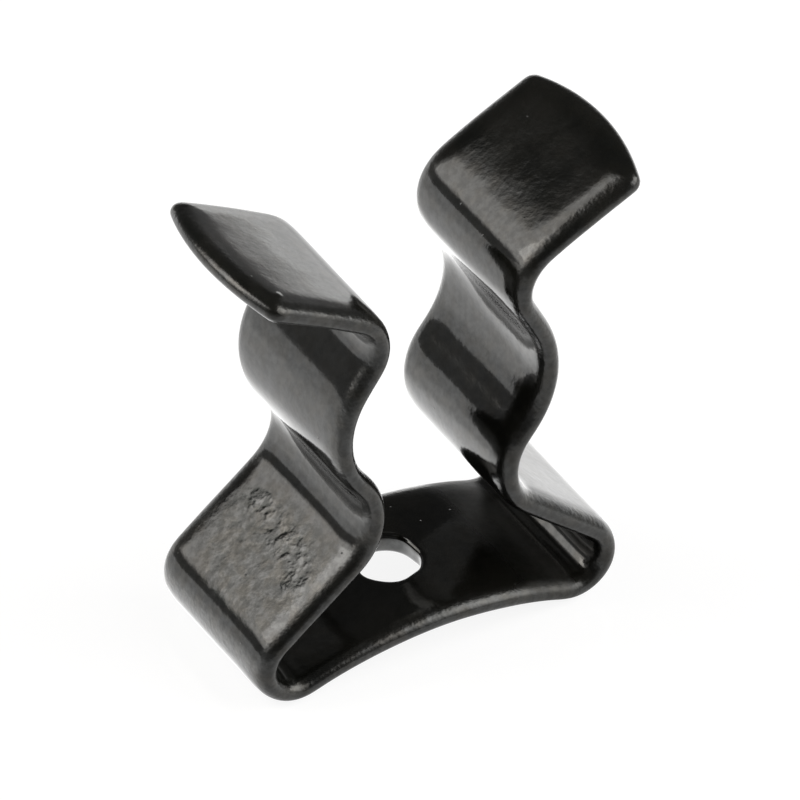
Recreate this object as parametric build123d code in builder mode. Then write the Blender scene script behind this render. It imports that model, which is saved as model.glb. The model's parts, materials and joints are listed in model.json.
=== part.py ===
from build123d import *
from math import cos, radians, sin
import os

# Spring clip for a round tool handle: one strip of spring steel, pierced, folded and dipped in plastic.
# X runs across the jaws, Y along the held tool and Z up from the mounting surface.
# The origin is on that surface, below the middle of the screw hole.

# --- Strip, measured over its coating ---
strip_width = 9.5
strip_thickness = 1.2  # 0.7 of steel and 0.25 of plastic on each face
edge_round = 0.5  # the dip leaves every edge of the strip round

# --- Tool and jaws ---
tool_diameter = 10.0
seat_clearance = 0.05  # between the tool and an unloaded jaw

# --- Base, bowed so that its screw pulls it down tight ---
bow_radius = 22.0  # of the upper face
bow_angle = 19.2  # from the middle to each end bend

# --- Bends, each by the radius of its hollow face ---
end_bend_radius = 1.2
waist_bend_radius = 2.5
neck_bend_radius = 1.75

# --- Straight runs: each one's slope from the horizontal, and its length ---
panel_slope = 40.0  # up and inwards; its length follows from the jaws
entry_slope = 55.0  # up and outwards, from the waist into the jaw
entry_length = 0.5
exit_slope = 62.0  # up and inwards, from the jaw to the neck
exit_length = 1.5
lip_slope = 28.0  # up and outwards
lip_length = 6.5

# --- Lip ends, seen square to the lip ---
lip_crown = 1.0  # rise of the convex end from its sides to its middle
lip_corner_radius = 0.7

# --- Screw hole, through the coating ---
hole_diameter = 3.5
hole_round = 0.3

# --- Headings of the strip's upper face, from the base out to the lip ---
panel_heading = 180 - panel_slope
exit_heading = 180 - exit_slope

# --- Radii on the same face, which is hollow in the end bend and the jaw, and full in the others ---
jaw_radius = tool_diameter / 2 + seat_clearance
waist_face_radius = waist_bend_radius + strip_thickness
neck_face_radius = neck_bend_radius + strip_thickness

# --- The end bends' lowest lines touch the mounting surface, and the base arches up between them ---
bow_to_bend_radius = bow_radius + end_bend_radius
base_height = strip_thickness + bow_to_bend_radius * (1 - cos(radians(bow_angle)))

# --- The panel is as long as it takes for both jaws to close round one axis, over the hole ---
bend_end_x = bow_to_bend_radius * sin(radians(bow_angle)) + end_bend_radius * sin(radians(panel_slope))
waist_start_x = (
    jaw_radius * sin(radians(entry_slope))
    - entry_length * cos(radians(entry_slope))
    - waist_face_radius * (sin(radians(panel_slope)) - sin(radians(entry_slope)))
)
panel_length = (bend_end_x - waist_start_x) / cos(radians(panel_slope))

# --- The lip's end is the arc of a circle ---
crown_radius = (strip_width**2 / 4 + lip_crown**2) / (2 * lip_crown)

os.makedirs("parts", exist_ok=True)

with BuildPart() as spring_clip:
    # The folded profile: half of the upper face, its mirror image, and the strip's thickness below them.
    with BuildSketch(Plane.XZ):
        with BuildLine():
            bow = JernArc((0, base_height), (1, 0), bow_radius, -bow_angle)
            end_bend = JernArc(bow @ 1, bow % 1, end_bend_radius, bow_angle + panel_heading)
            panel = PolarLine(end_bend @ 1, panel_length, direction=end_bend % 1)
            waist_bend = JernArc(panel @ 1, panel % 1, waist_face_radius, entry_slope - panel_heading)
            entry = PolarLine(waist_bend @ 1, entry_length, direction=waist_bend % 1)
            jaw = JernArc(entry @ 1, entry % 1, jaw_radius, exit_heading - entry_slope)
            leaving = PolarLine(jaw @ 1, exit_length, direction=jaw % 1)
            neck_bend = JernArc(leaving @ 1, leaving % 1, neck_face_radius, lip_slope - exit_heading)
            lip = PolarLine(neck_bend @ 1, lip_length, direction=neck_bend % 1)
            mirror(about=Plane.YZ)
            offset(amount=strip_thickness, side=Side.RIGHT)
        make_face()
    extrude(amount=strip_width / 2, both=True)

    # Each lip's end is cut to a convex arc, and its two corners are rounded.
    for side in (1, -1):
        lip_end = Plane(
            origin=(side * (lip @ 1).X, 0, (lip @ 1).Y),
            x_dir=(side * cos(radians(lip_slope)), 0, sin(radians(lip_slope))),
            z_dir=(-side * sin(radians(lip_slope)), 0, cos(radians(lip_slope))),
        )
        with BuildSketch(lip_end):
            Rectangle(4 * lip_crown, 2 * strip_width)
            with Locations((-crown_radius, 0)):
                Circle(crown_radius, mode=Mode.SUBTRACT)
        extrude(amount=2 * strip_thickness, both=True, mode=Mode.SUBTRACT)
        through_edges = spring_clip.edges().filter_by(Axis((0, 0, 0), lip_end.z_dir))
        fillet(through_edges.sort_by_distance(lip_end.origin)[:2], radius=lip_corner_radius)

    # The rim is tangent all the way round, so the rounding runs on from the bow's four edges.
    rim_starts = spring_clip.edges().filter_by(GeomType.CIRCLE).sort_by(SortBy.RADIUS)[-4:]
    fillet(rim_starts, radius=edge_round)

    # The screw hole's two mouths are rounded by the coating too.
    with Locations((0, 0, base_height)):
        Hole(hole_diameter / 2, depth=2 * strip_thickness)
    hole_edges = spring_clip.edges(Select.LAST).filter_by(GeomType.LINE, reverse=True)
    fillet(hole_edges, radius=hole_round)

spring_clip.part.label = "spring_clip"
export_step(spring_clip.part, "parts/spring_clip.step")
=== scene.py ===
import json
import math

import bmesh
import bpy
import numpy as np
from mathutils import Matrix, Vector, noise


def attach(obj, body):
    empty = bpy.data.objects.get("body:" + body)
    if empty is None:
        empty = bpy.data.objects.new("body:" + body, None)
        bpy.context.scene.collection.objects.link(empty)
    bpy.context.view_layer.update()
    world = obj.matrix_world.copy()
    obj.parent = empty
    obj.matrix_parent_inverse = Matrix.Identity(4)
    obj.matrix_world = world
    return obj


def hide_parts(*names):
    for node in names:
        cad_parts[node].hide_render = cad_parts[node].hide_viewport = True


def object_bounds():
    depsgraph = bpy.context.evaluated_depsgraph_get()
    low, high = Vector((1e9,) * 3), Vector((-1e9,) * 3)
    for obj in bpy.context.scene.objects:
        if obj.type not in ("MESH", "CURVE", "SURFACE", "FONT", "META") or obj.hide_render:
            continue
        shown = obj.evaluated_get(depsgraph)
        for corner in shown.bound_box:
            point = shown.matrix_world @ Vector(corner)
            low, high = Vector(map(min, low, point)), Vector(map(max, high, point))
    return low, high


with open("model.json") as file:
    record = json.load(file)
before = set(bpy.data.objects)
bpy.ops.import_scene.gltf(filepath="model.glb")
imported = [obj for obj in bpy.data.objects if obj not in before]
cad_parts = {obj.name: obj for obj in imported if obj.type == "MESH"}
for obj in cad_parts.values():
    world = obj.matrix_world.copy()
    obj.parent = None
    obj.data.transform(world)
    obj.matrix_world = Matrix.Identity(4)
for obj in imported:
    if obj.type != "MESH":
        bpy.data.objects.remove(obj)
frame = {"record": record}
cad_low, cad_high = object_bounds()

MM = 0.001

# --- The strip, as the CAD folds it ---
mounts = {mount["name"]: mount for mount in frame["record"]["mounts"]}
UNEVEN = 0.02 * MM  # the dipped skin's unevenness stays inside the CAD's width
WIDTH = cad_high.y - cad_low.y - 2 * UNEVEN
HALF = 0.6 * MM  # half the strip's thickness
EDGE_REACH = 1.25 * MM  # the dip rounds each edge over this depth, to a slightly blunt ellipse
EDGE_BLUNT = 2.4  # 2 would be an ellipse
LIP_CROWN = 1.0 * MM
LIP_CORNER = 0.7 * MM

# --- The screw hole; the dip narrows it and leaves it out of round, by shares of its radius ---
HOLE_RADIUS = mounts["screw_hole"]["dims"]["r_mm"] * MM
HOLE_ROUND = 0.3 * MM
HOLE_NARROWING = 0.06
HOLE_WAVES = [(0.015, 5, 1.2), (0.008, 7, 2.0)]  # height, waves round the hole and phase
HOLE_RUNS = [(-0.15, 0.8, 0.17), (-1.35, 0.35, 0.1)]  # angle, spread and depth where the dip ran thicker
LOWER_RUNS = 0.35  # how much of the narrowing and the runs reaches the hole's lower mouth

# --- The fold, out from the base's middle; radii are those of the strip's middle surface ---
BOW_RADIUS = 22.0 * MM - HALF
BOW_ANGLE = math.radians(19.2)
JAW_RADIUS = mounts["jaws"]["dims"]["r_mm"] * MM + HALF
NOMINAL = {
    "end_bend_mm": 1.8, "panel_deg": 40.0, "panel_mm": 5.09, "waist_mm": 3.1, "entry_deg": 55.0,
    "entry_mm": 0.5, "jaw_mm": JAW_RADIUS / MM, "exit_deg": 62.0, "exit_mm": 1.5, "neck_mm": 2.35,
    "lip_deg": 28.0, "droop_deg": 0.0, "ease_deg": 0.0, "lip_mm": 6.5,
}
# The press left the two arms not quite alike. Droop is the lip's own slight curve, and ease is what the
# neck's bend leaves to the start of the lip.
RIGHT_ARM = {
    "end_bend_mm": 1.72, "panel_deg": 39.3, "panel_mm": 5.08, "waist_mm": 3.27, "entry_deg": 53.7,
    "entry_mm": 0.5, "jaw_mm": 5.23, "exit_deg": 60.8, "exit_mm": 1.54, "neck_mm": 2.34,
    "lip_deg": 26.9, "droop_deg": 2.5, "ease_deg": 4.0, "lip_mm": 6.49,
}
LEFT_ARM = {
    "end_bend_mm": 1.78, "panel_deg": 40.15, "panel_mm": 5.09, "waist_mm": 3.21, "entry_deg": 52.25,
    "entry_mm": 0.5, "jaw_mm": 4.84, "exit_deg": 58.0, "exit_mm": 1.45, "neck_mm": 2.07,
    "lip_deg": 27.6, "droop_deg": 5.8, "ease_deg": 0.0, "lip_mm": 6.86,
}
ARMS = {1: RIGHT_ARM, -1: LEFT_ARM}
EASE_RUN = 1.6 * MM  # the stretch of the lip that takes the ease
BEND_SOFTNESS = 0.4 * MM  # half the stretch over which a bend begins or ends
LINE_STEPS = 4000  # along half the strip
BASE_HEIGHT = HALF + (BOW_RADIUS + NOMINAL["end_bend_mm"] * MM) * (1 - math.cos(BOW_ANGLE))


def arm_runs(arm):
    """Length along the middle surface and turn of each run, from the base's middle out to the lip's end."""
    panel, entry, leaving, lip, droop, ease = (
        math.radians(arm[name + "_deg"]) for name in ("panel", "entry", "exit", "lip", "droop", "ease")
    )
    bends = [
        (BOW_RADIUS / MM, -BOW_ANGLE),
        (arm["end_bend_mm"], BOW_ANGLE + math.pi - panel),
        (arm["waist_mm"], entry + panel - math.pi),
        (arm["jaw_mm"], math.pi - leaving - entry),
        (arm["neck_mm"], lip + droop / 2 + ease + leaving - math.pi),
    ]
    bow, end_bend, waist, jaw, neck = ((radius * abs(turn) * MM, turn) for radius, turn in bends)
    panel_run, entry_run, exit_run = ((arm[name] * MM, 0.0) for name in ("panel_mm", "entry_mm", "exit_mm"))
    lip_length = arm["lip_mm"] * MM
    share = EASE_RUN / lip_length
    lip_runs = [(EASE_RUN, -ease - droop * share), (lip_length - EASE_RUN, -droop * (1 - share))]
    return [bow, end_bend, panel_run, waist, entry_run, jaw, exit_run, neck, *lip_runs]


HALF_LENGTH = sum(length for length, turn in arm_runs(NOMINAL))

# --- What the dip left on the skin, in mm ---
WAVE_HEIGHT, WAVE_SCALE = 0.012, 0.35  # scales are in noise cells a mm
RIPPLE_HEIGHT, RIPPLE_SCALE, RIPPLE_OFFSET = 0.003, 0.9, Vector((7, 3, 5))
# Middle and reach of each crumbly patch on the left panel, and of the dull skin round them
CRUMBS = [
    (Vector((-6.25, 1.5, 6.7)), Vector((0.75, 1.5, 0.75))),
    (Vector((-6.5, -1.0, 6.5)), Vector((0.8, 1.6, 0.8))),
    (Vector((-7.0, -2.6, 6.1)), Vector((1.0, 0.9, 1.0))),
]
MOTTLED = [(Vector((-7.4, -0.2, 5.6)), Vector((3.0, 4.6, 3.0)))]
CRUMB_HEIGHT = 0.055
CRUMB_SCALE, FINE_CRUMB_SCALE, FINE_CRUMB_SHARE = 3.0, 4.4, 0.5
CRUMB_PITS, CRUMB_TOPS = -0.5, 0.35  # where the crumbs' noise is cut off
RAGGED_SCALE, RAGGED_OFFSET = 1.2, Vector((1, 9, 4))  # the patches' gaps
RAGGED_LEVEL, RAGGED_CONTRAST = 0.55, 3.0
MOTTLE_HEIGHT, MOTTLE_SCALE, MOTTLE_OFFSET = 0.015, 1.6, Vector((2, 5, 1))
FAINT = 0.01  # a patch counts for nothing below this
NIBS = [  # place, radius and rise of each small drip
    (Vector((-9.2, -3.6, 24.6)), 0.16, 0.09),
    (Vector((9.6, -1.2, 24.6)), 0.15, 0.04),
]

# --- The flat blank's mesh: s along the strip, y across it, n out from its middle surface ---
CELL = 0.16 * MM
PATCH = 2.8 * MM  # half the side of the square patch round the screw hole
PATCH_RINGS = 6
FAN = 5  # steps round each lip corner
EDGE_STEPS = 8
MOUTH_STEPS = 5
SMOOTHINGS = 12  # passes that soften the skin's height near its corners
BOWED_END = 3.0 * MM  # stretch of each end whose cross lines bow out to the lip's convex end
CROWN_RADIUS = (WIDTH**2 / 4 + LIP_CROWN**2) / (2 * LIP_CROWN)


def spaced(low, high):
    """Values from low to high, about a cell apart."""
    return np.linspace(low, high, max(2, round((high - low) / CELL) + 1))


def grid_lines(outer):
    """Values from -outer to outer, two of them on the patch's sides."""
    side = spaced(PATCH, outer)
    return np.concatenate([-side[::-1], spaced(-PATCH, PATCH)[1:-1], side])


def half_thickness(distance):
    """Half the strip's thickness at a distance from its edge, where the coating draws thin and round."""
    share = np.clip(1 - distance / EDGE_REACH, 0, 1)
    return HALF * (1 - share**2) ** (1 / EDGE_BLUNT)


def edge_profile():
    """(distance out, n) of the rings from the skin's boundary, over the edge, to the other skin."""
    turns = np.linspace(math.asin(1 - LIP_CORNER / EDGE_REACH), math.pi / 2, EDGE_STEPS + 1)[1:]
    outs = LIP_CORNER - EDGE_REACH * (1 - np.sin(turns))
    upper = list(zip(outs, HALF * np.clip(np.cos(turns), 0, 1) ** (2 / EDGE_BLUNT)))
    return upper + [(out, -n) for out, n in reversed(upper[:-1])]


def mouth_profile():
    """(distance in, n) of the rings from the hole's mouth, down its wall, to the other mouth."""
    turns = [math.radians(90 * k / MOUTH_STEPS) for k in range(1, MOUTH_STEPS + 1)]
    upper = [(HOLE_ROUND * math.sin(a), HALF - HOLE_ROUND * (1 - math.cos(a))) for a in turns]
    wall = [(HOLE_ROUND, n) for n in spaced(HOLE_ROUND - HALF, HALF - HOLE_ROUND)[1:-1][::-1]]
    return upper + wall + [(inwards, -n) for inwards, n in reversed(upper)]


class Blank:
    """The flat strip's vertices (s, y, n) and its faces."""

    def __init__(self):
        self.points = []
        self.faces = []

    def add(self, points):
        first = len(self.points)
        self.points.extend(tuple(p) for p in points)
        return list(range(first, len(self.points)))

    def join(self, a, b):
        """Faces between two closed rings; a vertex that a ring repeats makes a triangle."""
        for k in range(len(a)):
            m = (k + 1) % len(a)
            self.faces.append(tuple(dict.fromkeys((a[k], a[m], b[m], b[k]))))

    def rim(self, top, bottom, places, lower_places, outs, profile):
        """A rim between two skins' boundary rings, its rings set out from their places along outs."""
        ring = top
        for distance, n in profile:
            between = places + (lower_places - places) * (1 - n / HALF) / 2 + outs * distance
            outer = self.add((p[0], p[1], n) for p in between)
            self.join(ring, outer)
            ring = outer
        self.join(ring, bottom)


def boundary_walk(s, y):
    """Places once round the grid, and the direction out at each; corners turn in several steps."""
    rows, columns = s.shape
    sides = [
        [(i, 0) for i in range(rows)],
        [(rows - 1, j) for j in range(columns)],
        [(i, columns - 1) for i in reversed(range(rows))],
        [(0, j) for j in reversed(range(columns))],
    ]
    walk = []
    for k, side in enumerate(sides):
        for i, j in side:
            if k % 2:
                centre = math.copysign(HALF_LENGTH - CROWN_RADIUS, s[i, j])
                out = Vector((s[i, j] - centre, y[i, j])).normalized()
            else:
                out = Vector((0.0, k - 1.0))
            walk.append((i, j, out))
    rounded = []
    for here, following in zip(walk, walk[1:] + walk[:1]):
        rounded.append(here)
        if here[:2] == following[:2]:
            turned = [here[2].slerp(following[2], k / FAN) for k in range(1, FAN)]
            rounded += [(here[0], here[1], out) for out in turned]
    return rounded


def make_blank():
    blank = Blank()
    s_lines = grid_lines(HALF_LENGTH - LIP_CORNER)
    y_lines = grid_lines(WIDTH / 2 - LIP_CORNER)
    s, y = np.meshgrid(s_lines, y_lines, indexing="ij")
    in_patch = (np.abs(s) < PATCH - CELL / 4) & (np.abs(y) < PATCH - CELL / 4)

    # The grid ends on an arc that lies a corner's radius inside the lip's convex end.
    arc_end = HALF_LENGTH - CROWN_RADIUS + np.sqrt((CROWN_RADIUS - LIP_CORNER) ** 2 - y**2)
    bow_from = HALF_LENGTH - LIP_CORNER - BOWED_END
    share = np.clip((np.abs(s) - bow_from) / BOWED_END, 0, 1)
    s = np.where(share > 0, np.sign(s) * (bow_from + share * (arc_end - bow_from)), s)

    from_centre = np.maximum(np.abs(s) - (HALF_LENGTH - CROWN_RADIUS), 0)
    to_end = CROWN_RADIUS - np.hypot(from_centre, y)
    height = half_thickness(np.minimum(WIDTH / 2 - np.abs(y), to_end))
    for _ in range(SMOOTHINGS):
        across = height[:-2, 1:-1] + height[2:, 1:-1] + height[1:-1, :-2] + height[1:-1, 2:]
        height[1:-1, 1:-1] = height[1:-1, 1:-1] / 2 + across / 8

    walk = boundary_walk(s, y)
    places = np.array([(s[i, j], y[i, j]) for i, j, out in walk])
    outs = np.array([out for i, j, out in walk])
    patch_i = np.flatnonzero(np.abs(s_lines) < PATCH + CELL / 4)
    patch_j = np.flatnonzero(np.abs(y_lines) < PATCH + CELL / 4)
    low_i, high_i, low_j, high_j = patch_i[0], patch_i[-1], patch_j[0], patch_j[-1]
    frame_walk = (
        [(i, low_j) for i in range(low_i, high_i)]
        + [(high_i, j) for j in range(low_j, high_j)]
        + [(i, high_j) for i in range(high_i, low_i, -1)]
        + [(low_i, j) for j in range(high_j, low_j, -1)]
    )
    square = np.array([(s[i, j], y[i, j]) for i, j in frame_walk])
    angles = np.arctan2(square[:, 1], square[:, 0])
    inward = -np.stack([np.cos(angles), np.sin(angles)], axis=1)
    mouths = [-inward * (HOLE_RADIUS + HOLE_ROUND) * hole_wobble(angles, runs) for runs in (1.0, LOWER_RUNS)]

    rings = []
    for face, mouth in zip((1, -1), mouths):
        numbers = np.full(s.shape, -1)
        kept = np.argwhere(~in_patch)
        numbers[tuple(kept.T)] = blank.add((s[i, j], y[i, j], face * height[i, j]) for i, j in kept)
        for i in range(len(s_lines) - 1):
            for j in range(len(y_lines) - 1):
                if not (low_i <= i < high_i and low_j <= j < high_j):
                    cell = (numbers[i, j], numbers[i + 1, j], numbers[i + 1, j + 1], numbers[i, j + 1])
                    blank.faces.append(cell)
        ring = [numbers[i, j] for i, j in frame_walk]
        for k in range(1, PATCH_RINGS + 1):
            between = square + (mouth - square) * k / PATCH_RINGS
            inner = blank.add((p[0], p[1], face * HALF) for p in between)
            blank.join(ring, inner)
            ring = inner
        rings.append(([numbers[i, j] for i, j, out in walk], ring))

    (top_walk, top_mouth), (bottom_walk, bottom_mouth) = rings
    blank.rim(top_walk, bottom_walk, places, places, outs, edge_profile())
    blank.rim(top_mouth, bottom_mouth, *mouths, inward, mouth_profile())
    return np.array(blank.points), blank.faces


def hole_wobble(angles, share):
    """The hole's radius at each angle, as a share of its nominal one, with a share of the thicker dip."""
    runs = sum(depth * np.exp(-(((angles - at) / spread) ** 2)) for at, spread, depth in HOLE_RUNS)
    waves = sum(height * np.cos(count * angles + phase) for height, count, phase in HOLE_WAVES)
    return (1 + waves - share * (HOLE_NARROWING + runs))[:, None]


def middle_line(arm):
    """Place along half the flat strip, with the x, z and heading of the arm's middle surface there."""
    lengths, turns = zip(*arm_runs(arm))
    ends = np.cumsum([0.0, *lengths])
    distance = np.linspace(0.0, ends[-1], LINE_STEPS + 1)
    heading = np.interp(distance, ends, np.cumsum([0.0, *turns]))
    step = distance[1]
    reach = round(BEND_SOFTNESS / step)
    padded = np.concatenate([-heading[reach:0:-1], heading, np.full(reach, heading[-1])])
    heading = np.convolve(padded, np.full(2 * reach + 1, 1 / (2 * reach + 1)), mode="valid")
    middle = (heading[1:] + heading[:-1]) / 2
    x = np.concatenate([[0.0], np.cumsum(np.cos(middle) * step)])
    z = np.concatenate([[0.0], np.cumsum(np.sin(middle) * step)])
    flat_ends = np.cumsum([0.0] + [length for length, turn in arm_runs(NOMINAL)])
    return np.interp(distance, ends, flat_ends), x, z + BASE_HEIGHT, heading


def fold(points):
    """The blank's points (s, y, n), folded to the clip's shape."""
    folded = np.empty_like(points)
    for side, arm in ARMS.items():
        rows = points[:, 0] * side >= 0
        distance, y, n = side * points[rows, 0], points[rows, 1], points[rows, 2]
        line = middle_line(arm)
        x, z, heading = (np.interp(distance, line[0], values) for values in line[1:])
        folded[rows] = np.stack([side * (x - n * np.sin(heading)), y, z + n * np.cos(heading)], axis=1)
    return folded


def within(place, patches):
    """1 in the middle of any of the patches of skin, falling to 0 past its reach."""
    shares = (Vector((d / r for d, r in zip(place - middle, reach))).length for middle, reach in patches)
    return math.exp(-min(shares) ** 4)


def swell(place):
    """How far the dipped skin stands out at a place, both in mm."""
    height = WAVE_HEIGHT * noise.noise(place * WAVE_SCALE)
    height += RIPPLE_HEIGHT * noise.noise(place * RIPPLE_SCALE + RIPPLE_OFFSET)
    crumbly, mottled = within(place, CRUMBS), within(place, MOTTLED)
    if mottled > FAINT:
        height += MOTTLE_HEIGHT * mottled * noise.noise(place * MOTTLE_SCALE + MOTTLE_OFFSET)
    if crumbly > FAINT:
        grain = noise.noise(place * CRUMB_SCALE) + FINE_CRUMB_SHARE * noise.noise(place * FINE_CRUMB_SCALE)
        gaps = RAGGED_LEVEL + RAGGED_CONTRAST * noise.noise(place * RAGGED_SCALE + RAGGED_OFFSET)
        ragged = min(max(gaps, 0), 1)
        height += CRUMB_HEIGHT * crumbly * ragged * min(max(grain, CRUMB_PITS), CRUMB_TOPS)
    for middle, radius, rise in NIBS:
        height += rise * math.exp(-((place - middle).length / radius) ** 2)
    return height


def face_outwards(mesh):
    work = bmesh.new()
    work.from_mesh(mesh)
    bmesh.ops.recalc_face_normals(work, faces=work.faces)
    work.to_mesh(mesh)
    work.free()


def make_strip():
    points, faces = make_blank()
    mesh = bpy.data.meshes.new("coated_strip")
    mesh.from_pydata(fold(points).tolist(), [], faces)
    face_outwards(mesh)
    mesh.shade_smooth()
    normals = [vertex.normal.copy() for vertex in mesh.vertices]
    for vertex, normal in zip(mesh.vertices, normals):
        vertex.co += normal * swell(vertex.co / MM) * MM
    lowest = min(vertex.co.z for vertex in mesh.vertices)
    mesh.transform(Matrix.Translation((0, 0, cad_low.z - lowest)))
    strip = bpy.data.objects.new("coated_strip", mesh)
    bpy.context.scene.collection.objects.link(strip)
    return strip


# --- The coating's look ---
# Each noise: the width of its features in mm, then its detail and roughness if they aren't 2 and 0.5
CLOUDS = (3.0, 3.0, 0.6)
PEEL = (0.4, 3.0, 0.55)
GRAIN = (0.22, 1.0)
SOFT_DENTS = (0.6, 4.0, 0.65)
CRUMBLE = (0.28, 3.0, 0.6)
GAPS = (1.0,)
HAZE = (0.4, 4.0, 0.7)
WARMTH = (0.9, 3.0)
SPECK_SPACING = 1.3  # mm
# Each bump's height in mm
PEEL_BUMP, GRAIN_BUMP, DENT_BUMP, CRUMB_BUMP, SPECK_BUMP = 0.0045, 0.016, 0.032, 0.06, 0.02
GRAIN_ELSEWHERE = 0.1  # the share of the grain's height that is left away from the rims
# Each soft step: where it starts and ends, and the levels there if they aren't 0 and 1
CLOUD_STEP = (0.38, 0.62)
GAP_STEP = (0.4, 0.6)
WARM_STEP = (0.4, 0.65)
SPECK_STEP = (0.05, 0.015)
PATCH_STEP = (1.25, 0.7)  # in reaches of the patch
SIDE_RIM = (WIDTH / 2 - 0.9 * MM, WIDTH / 2 - 0.5 * MM)  # across the strip
END_RIM = (9.7 * MM, 10.1 * MM)  # along X, at the lips' ends and the end bends
PEEL_STEP = (0.0, 5 * MM, 0.5, 1.1)  # from the left arm's share of the peel to the right arm's
CORNER_STEPS = [("X", 4 * MM, 5.5 * MM), ("X", 7.7 * MM, 7.3 * MM), ("Z", 3 * MM, 2.6 * MM)]
# Roughness of the plain skin, and what each place adds to it
ROUGHNESS = 0.095
CLOUDS_ROUGHER, MOTTLED_ROUGHER, RIMS_ROUGHER, CORNER_ROUGHER = 0.02, 0.07, 0.14, 0.22
# Specular level without haze, and how far full haze changes it
SPECULAR = 0.5
HAZE_STEP = (0.35, 0.65, -0.24, 0.12)
HAZY_SKIN, HAZY_PANEL = 0.42, 0.2  # the share of the haze on plain skin, and what the dull panel adds
HAZY_RIMS = 0.5  # the rims add this part of what the panel adds
PLAIN_TINT, WARM_TINT = (0.99, 1, 0.99, 1), (1, 0.94, 0.84, 1)
DARK_BLACK, PALE_BLACK = (0.004, 0.0042, 0.0034, 1), (0.0078, 0.0076, 0.0062, 1)
COATING_IOR = 1.6

# --- What mirrored rays see of the floor: a glow with painted light and painted shade; distances in metres, and a level of 1 is white ---
SHEET_LEVEL = 0.65
NEAR_PAINTED_SHADE = (-0.13, -0.03, 0.65, 1.0)  # painted shade: the sheet's glow to mirrored rays dims towards the camera, first close by
FAR_PAINTED_SHADE = (-1.2, -0.2, 0.6, 1.0)  # and painted shade again farther off
# Painted pools of light that the sheet's glow adds in three places, seen only by mirrored rays: its soft
# step over distance, and the soft edge that it starts from, along an azimuth in degrees
REAR_PAINTED_LIGHT, REAR_AZIMUTH, REAR_EDGE = (0.012, 0.018, 1.2, 0.45), 95, (-0.0035, 0.0005)
RIGHT_PAINTED_LIGHT, RIGHT_AZIMUTH, RIGHT_EDGE = (0.036, 0.022, 0.0, 0.7), 33, (0.01, 0.018)
FAR_PAINTED_LIGHT, FAR_AZIMUTH, FAR_EDGE = (0.03, 0.3, 0.0, 0.5), 150, (0.0, 0.02)
FLOOR_ROUGHNESS = 0.15


class Graph:
    """A node tree as it is built; each value is a number, a colour or the output that feeds it."""

    def __init__(self, owner):
        owner.use_nodes = True
        self.nodes, self.links = owner.node_tree.nodes, owner.node_tree.links

    def feed(self, socket, value):
        """Links a socket to an output, or sets it to a plain value."""
        if isinstance(value, bpy.types.NodeSocket):
            self.links.new(value, socket)
        else:
            socket.default_value = value

    def calculation(self, kind, operation, values):
        node = self.nodes.new(kind)
        node.operation = operation
        for socket, value in zip(node.inputs, values):
            self.feed(socket, value)
        return node

    def math(self, operation, *values):
        return self.calculation("ShaderNodeMath", operation, values).outputs[0]

    def product(self, first, *others):
        for other in others:
            first = self.math("MULTIPLY", first, other)
        return first

    def vector(self, operation, *values):
        """The vector that an operation gives."""
        return self.calculation("ShaderNodeVectorMath", operation, values).outputs["Vector"]

    def number(self, operation, *values):
        """The number that an operation on vectors gives."""
        return self.calculation("ShaderNodeVectorMath", operation, values).outputs["Value"]

    def ramp(self, value, low, high, out_low=0.0, out_high=1.0):
        """A smooth step of a value from one level to another."""
        node = self.nodes.new("ShaderNodeMapRange")
        node.interpolation_type = "SMOOTHSTEP"
        names = ("Value", "From Min", "From Max", "To Min", "To Max")
        for name, level in zip(names, (value, low, high, out_low, out_high)):
            self.feed(node.inputs[name], level)
        return node.outputs["Result"]

    def noise(self, place, width, detail=2.0, roughness=0.5):
        """Noise with features about this many mm wide."""
        node = self.nodes.new("ShaderNodeTexNoise")
        values = (place, 1 / (width * MM), detail, roughness)
        for name, value in zip(("Vector", "Scale", "Detail", "Roughness"), values):
            self.feed(node.inputs[name], value)
        return node.outputs["Fac"]

    def bump(self, height, relief, below=None):
        """A bump of this many mm, laid over the one below."""
        node = self.nodes.new("ShaderNodeBump")
        node.inputs["Distance"].default_value = relief * MM
        self.feed(node.inputs["Height"], height)
        if below:
            self.feed(node.inputs["Normal"], below)
        return node.outputs["Normal"]

    def colours(self, share, first, second):
        """A colour between two, by a share."""
        node = self.nodes.new("ShaderNodeMix")
        node.data_type = "RGBA"
        colour_inputs = [socket for socket in node.inputs if socket.type == "RGBA"]
        for socket, value in zip([node.inputs[0], *colour_inputs], (share, first, second)):
            self.feed(socket, value)
        return next(socket for socket in node.outputs if socket.type == "RGBA")

    def patches(self, place, patches):
        """1 in the middle of any of the patches of skin, falling to 0 past its reach."""
        mask = 0.0
        for middle, reach in patches:
            away = self.vector("DIVIDE", self.vector("SUBTRACT", place, middle * MM), reach * MM)
            inside = self.ramp(self.number("LENGTH", away), *PATCH_STEP)
            mask = self.math("MAXIMUM", inside, mask)
        return mask


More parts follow.
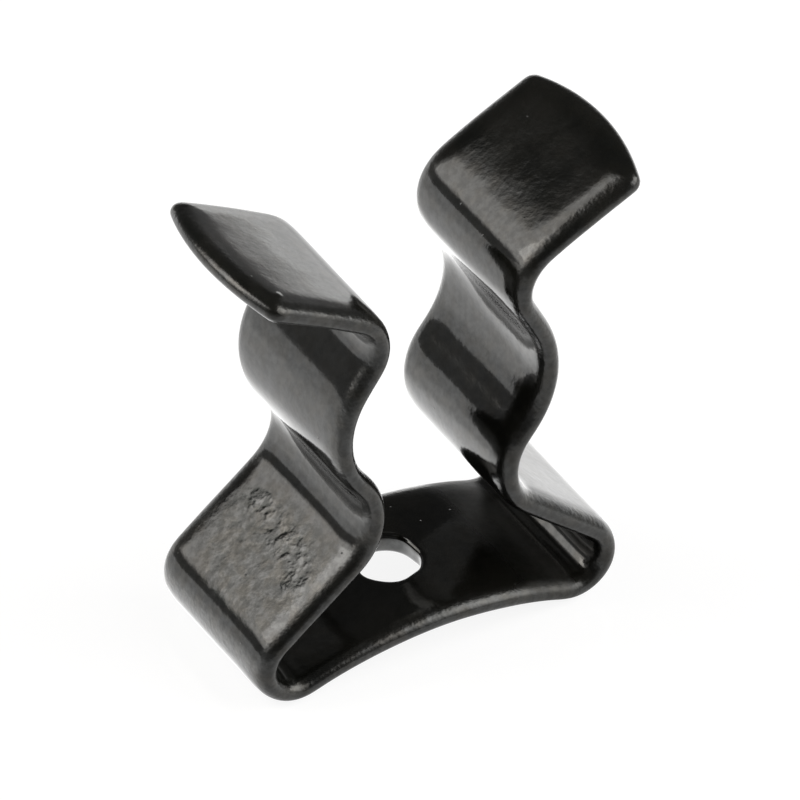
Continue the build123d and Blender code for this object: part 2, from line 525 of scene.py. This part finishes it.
def coating_relief(graph, place, x, rims, mottled):
    """Orange peel, grain on the rims, soft dents, crumbs and specks of dust, each over the one before."""
    peel = graph.product(graph.noise(place, *PEEL), graph.ramp(x, *PEEL_STEP))
    grain_share = graph.math("MULTIPLY_ADD", rims, 1 - GRAIN_ELSEWHERE, GRAIN_ELSEWHERE)
    grain = graph.product(graph.noise(place, *GRAIN), grain_share)
    dents = graph.product(graph.noise(place, *SOFT_DENTS), mottled)
    ragged = graph.ramp(graph.noise(place, *GAPS), *GAP_STEP)
    crumbly = graph.product(graph.patches(place, CRUMBS), ragged)
    crumbs = graph.product(graph.noise(place, *CRUMBLE), crumbly)
    dust = graph.nodes.new("ShaderNodeTexVoronoi")
    graph.feed(dust.inputs["Vector"], place)
    graph.feed(dust.inputs["Scale"], 1 / (SPECK_SPACING * MM))
    specks = graph.ramp(dust.outputs["Distance"], *SPECK_STEP)
    bumps = [
        (peel, PEEL_BUMP), (grain, GRAIN_BUMP), (dents, DENT_BUMP), (crumbs, CRUMB_BUMP),
        (specks, SPECK_BUMP),
    ]
    normal = None
    for height, relief in bumps:
        normal = graph.bump(height, relief, normal)
    return normal


def coating_roughness(graph, parts, clouds, rims, mottled):
    """Glossy skin, duller on the rims, on the mottled panel and in the base's right corner."""
    corner = graph.product(*(graph.ramp(parts.outputs[axis], *step) for axis, *step in CORNER_STEPS))
    rougher = [
        (clouds, CLOUDS_ROUGHER), (mottled, MOTTLED_ROUGHER), (rims, RIMS_ROUGHER), (corner, CORNER_ROUGHER),
    ]
    roughness = ROUGHNESS
    for mask, rise in rougher:
        roughness = graph.math("MULTIPLY_ADD", mask, rise, roughness)
    return roughness


def coating_haze(graph, place, rims, mottled):
    """Haze in the skin: a patchy change in how strongly it mirrors, and in the tint of what it mirrors."""
    hazy = graph.math("MAXIMUM", mottled, graph.product(rims, HAZY_RIMS))
    hazy = graph.math("MULTIPLY_ADD", hazy, HAZY_PANEL, HAZY_SKIN)
    haze = graph.ramp(graph.noise(place, *HAZE), *HAZE_STEP)
    level = graph.math("MULTIPLY_ADD", haze, hazy, SPECULAR)
    warmth = graph.product(graph.ramp(graph.noise(place, *WARMTH), *WARM_STEP), hazy)
    return level, graph.colours(warmth, PLAIN_TINT, WARM_TINT)


def coating_material():
    """Thick black dip, cloudy, with its faults where the photo shows them."""
    material = bpy.data.materials.new("coating")
    graph = Graph(material)
    shader = graph.nodes["Principled BSDF"]
    place = graph.nodes.new("ShaderNodeTexCoord").outputs["Object"]
    parts = graph.nodes.new("ShaderNodeSeparateXYZ")
    graph.feed(parts.inputs[0], place)

    clouds = graph.ramp(graph.noise(place, *CLOUDS), *CLOUD_STEP)
    mottled = graph.patches(place, MOTTLED)
    beside = graph.ramp(graph.math("ABSOLUTE", parts.outputs["Y"]), *SIDE_RIM)
    beyond = graph.ramp(graph.math("ABSOLUTE", parts.outputs["X"]), *END_RIM)
    rims = graph.math("MAXIMUM", beside, beyond)
    level, tint = coating_haze(graph, place, rims, mottled)
    look = {
        "Base Color": graph.colours(clouds, DARK_BLACK, PALE_BLACK),
        "Roughness": coating_roughness(graph, parts, clouds, rims, mottled),
        "Normal": coating_relief(graph, place, parts.outputs["X"], rims, mottled),
        "Specular IOR Level": level,
        "Specular Tint": tint,
        "IOR": COATING_IOR,
    }
    for name, value in look.items():
        graph.feed(shader.inputs[name], value)
    return material


def floor_material():
    """A glossy sheet: plain white to the camera, and to mirrored rays a glow with painted pools of light and
    painted shade.
    """
    material = bpy.data.materials.new("floor")
    graph = Graph(material)
    shader = graph.nodes["Principled BSDF"]
    place = graph.nodes.new("ShaderNodeNewGeometry").outputs["Position"]

    def along(azimuth):
        """Distance of a place from the origin along a direction, given in degrees."""
        direction = (math.cos(math.radians(azimuth)), math.sin(math.radians(azimuth)), 0)
        return graph.number("DOT_PRODUCT", place, direction)

    away = along(90 + math.degrees(AZIMUTH))
    radius = graph.number("LENGTH", place)
    path = graph.nodes.new("ShaderNodeLightPath")
    seen, mirrored, through = (
        path.outputs[name] for name in ("Is Camera Ray", "Is Glossy Ray", "Is Transmission Ray")
    )
    # Painted shade: the floor's glow to mirrored rays dims towards the camera
    painted_shade = graph.product(graph.ramp(away, *NEAR_PAINTED_SHADE), graph.ramp(away, *FAR_PAINTED_SHADE))
    # Painted pools of light in the floor's glow to mirrored rays: behind, to the right and far off
    rear_painted_pool = graph.product(graph.ramp(radius, *REAR_PAINTED_LIGHT), graph.ramp(along(REAR_AZIMUTH), *REAR_EDGE))
    right = graph.product(graph.ramp(radius, *RIGHT_PAINTED_LIGHT), graph.ramp(along(RIGHT_AZIMUTH), *RIGHT_EDGE))
    far_painted_glow = graph.product(graph.ramp(away, *FAR_PAINTED_LIGHT), graph.ramp(along(FAR_AZIMUTH), *FAR_EDGE))
    painted_glow = graph.math("ADD", graph.math("ADD", rear_painted_pool, right), far_painted_glow)
    painted_glow = graph.product(graph.math("ADD", painted_glow, SHEET_LEVEL), painted_shade)
    plain = graph.math("MAXIMUM", seen, through)
    strength = graph.math("MAXIMUM", graph.product(plain, FLOOR_GLOW), graph.product(mirrored, painted_glow))
    colour = graph.math("MULTIPLY_ADD", seen, FLOOR_SEEN - FLOOR_COLOUR, FLOOR_COLOUR)
    graph.feed(shader.inputs["Base Color"], colour)
    graph.feed(shader.inputs["Emission Strength"], strength)
    graph.feed(shader.inputs["Emission Color"], WHITE)
    graph.feed(shader.inputs["Roughness"], FLOOR_ROUGHNESS)
    return material


# --- The clip ---
strip = make_strip()
strip.data.materials.append(coating_material())
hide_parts("spring_clip")
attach(strip, "root")

# --- Camera ---
AZIMUTH, ELEVATION, ROLL = map(math.radians, (-33.45, 39.19, 2.81))
DISTANCE = 0.7
TARGET = Vector((0, 0, 0.01289))
FRAME_WIDTH = 37.41 * MM  # what the frame spans at the target
SHIFT_RIGHT, SHIFT_UP = 0.05 * MM, -0.66 * MM
CLIP_START = 10 * MM
level = math.cos(ELEVATION)
back = Vector((math.sin(AZIMUTH) * level, -math.cos(AZIMUTH) * level, math.sin(ELEVATION)))
right = Vector((math.cos(AZIMUTH), math.sin(AZIMUTH), 0))
up = back.cross(right)
turned_right = right * math.cos(ROLL) + up * math.sin(ROLL)
turned_up = up * math.cos(ROLL) - right * math.sin(ROLL)
place = TARGET + back * DISTANCE + turned_right * SHIFT_RIGHT + turned_up * SHIFT_UP
camera = bpy.data.objects.new("camera", bpy.data.cameras.new("camera"))
bpy.context.scene.collection.objects.link(camera)
turned = Matrix([turned_right, turned_up, back]).transposed().to_4x4()
camera.matrix_world = Matrix.Translation(place) @ turned
camera.data.lens = camera.data.sensor_width * DISTANCE / FRAME_WIDTH
camera.data.clip_start = CLIP_START
bpy.context.scene.camera = camera

# --- Floor, lamps and world ---
WHITE = (1, 1, 1, 1)
FLOOR_GLOW = 0.88  # to the camera
FLOOR_SEEN, FLOOR_COLOUR = 0.18, 0.22  # its grey to the camera, and to every other ray
FLOOR_HALF = 1.5
floor_mesh = bpy.data.meshes.new("floor")
corners = [(x * FLOOR_HALF, y * FLOOR_HALF, 0) for x, y in ((-1, -1), (1, -1), (1, 1), (-1, 1))]
floor_mesh.from_pydata(corners, [], [(0, 1, 2, 3)])
floor = bpy.data.objects.new("floor", floor_mesh)
bpy.context.scene.collection.objects.link(floor)
floor.data.materials.append(floor_material())

LAMP_DISTANCE = 0.5
RIGHT_TINT = (1, 0.99, 0.97)
LEFT_TINT = (1, 0.975, 0.94)


def softbox(name, azimuths, elevations, radiance, tint=RIGHT_TINT, distance=LAMP_DISTANCE):
    """A lamp that fills the given angles, in degrees, as seen from the clip."""
    azimuth = math.radians(sum(azimuths) / 2)
    elevation = math.radians(sum(elevations) / 2)
    level = math.cos(elevation)
    away = Vector((math.cos(azimuth) * level, math.sin(azimuth) * level, math.sin(elevation)))
    lamp = bpy.data.lights.new(name, "AREA")
    lamp.shape = "RECTANGLE"
    lamp.size = 2 * distance * math.cos(elevation) * math.tan(math.radians(azimuths[1] - azimuths[0]) / 2)
    lamp.size_y = 2 * distance * math.tan(math.radians(elevations[1] - elevations[0]) / 2)
    lamp.energy = radiance * math.pi * lamp.size * lamp.size_y
    lamp.color = tint
    lamp_object = bpy.data.objects.new(name, lamp)
    bpy.context.scene.collection.objects.link(lamp_object)
    lamp_object.location = TARGET + away * distance
    lamp_object.rotation_euler = away.to_track_quat("Z", "Y").to_euler()
    lamp_object.visible_camera = False
    return lamp_object


softbox("right_box", (-76, -2), (12, 64), 1.3)
softbox("right_box_middle", (-62, -2), (18, 62), 1.6, distance=0.49)
softbox("right_box_core", (-48, -2), (24, 58), 1.3, distance=0.48)
softbox("right_low", (-64, -14), (0, 12), 0.8)
softbox("left_box_spill", (118.4, 179), (13, 64), 0.4, LEFT_TINT)
softbox("left_box", (120.6, 179), (14, 63), 1.1, LEFT_TINT, distance=0.49)
softbox("left_box_middle", (122, 171), (16, 62), 1.2, LEFT_TINT, distance=0.48)
softbox("left_box_core", (137, 166), (24, 56), 2.7, LEFT_TINT, distance=0.47)
softbox("sweep", (34, 62), (-1, 3.5), 0.9)

ROOM = (0.12, 0.42, 0.28, 0.06)  # the sine of the elevation over which the room dims, and its two levels


def dim_room():
    """A white room, dimmer overhead than near the horizon."""
    world = bpy.data.worlds.new("studio")
    graph = Graph(world)
    direction = graph.nodes.new("ShaderNodeSeparateXYZ")
    graph.feed(direction.inputs[0], graph.nodes.new("ShaderNodeTexCoord").outputs["Generated"])
    background = graph.nodes["Background"]
    graph.feed(background.inputs["Color"], WHITE)
    graph.feed(background.inputs["Strength"], graph.ramp(direction.outputs["Z"], *ROOM))
    return world


bpy.context.scene.world = dim_room()
bpy.context.scene.view_settings.view_transform = "Standard"
